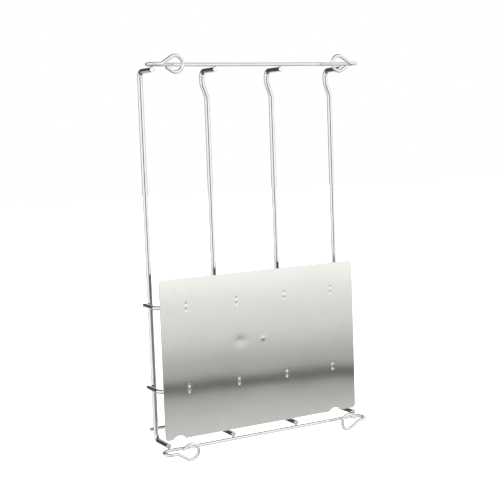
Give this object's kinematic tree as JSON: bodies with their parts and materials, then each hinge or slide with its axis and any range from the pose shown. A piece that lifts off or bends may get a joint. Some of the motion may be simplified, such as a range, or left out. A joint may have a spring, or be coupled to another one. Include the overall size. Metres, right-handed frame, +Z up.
{
  "type": "wall mounted wire rack",
  "caption": "Wall-hung welded wire rack: bent upright rods between two rails with wire hanging eyes, and a sheet metal plate that forms a shallow pocket in the lower half.",
  "frame": {"origin": "on the wall plane that the four hanging eyes touch, at the rack's middle in width and height", "axes": "+X along the wall to the right as seen from the wall side, +Y away from the wall, +Z up"},
  "size_m": [0.2772, 0.0593, 0.4588],
  "materials": {
    "bright_wire": "bright drawn and electropolished stainless steel",
    "satin_sheet": "satin rolled stainless steel sheet"
  },
  "bodies": {
    "root": {"upright_1": "bright_wire", "upright_2": "bright_wire", "upright_3": "bright_wire", "upright_4": "bright_wire", "top_rail": "bright_wire", "bottom_rail": "bright_wire", "rear_cross_rod": "bright_wire", "upper_carrier_wire": "bright_wire", "lower_carrier_wire": "bright_wire", "sheet_plate": "satin_sheet"}
  },
  "joints": []
}
